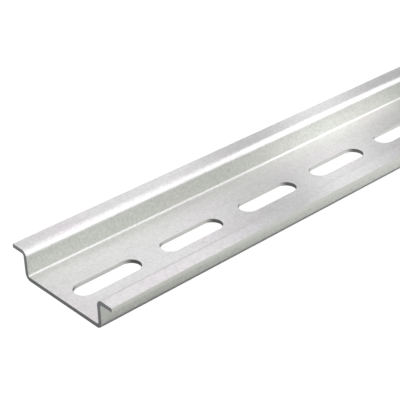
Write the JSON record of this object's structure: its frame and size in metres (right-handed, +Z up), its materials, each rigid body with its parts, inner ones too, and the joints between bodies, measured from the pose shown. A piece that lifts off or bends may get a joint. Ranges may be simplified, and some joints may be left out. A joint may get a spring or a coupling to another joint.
{
  "type": "din rail",
  "caption": "Slotted steel top-hat mounting rail: a shallow channel with two outward flanges that switchgear clips onto, screwed to a panel through its slots.",
  "frame": {"origin": "middle of the rail's length and width, on the underside of the base", "axes": "+X along the rail, +Y across it, +Z up out of the open side of the channel"},
  "size_m": [0.5, 0.035, 0.0075],
  "materials": {
    "zinc_plated_steel": "bright zinc plate over cold-rolled strip, satin, with cut ends and punched edges duller"
  },
  "bodies": {
    "root": {"din_rail": "zinc_plated_steel"}
  },
  "joints": []
}
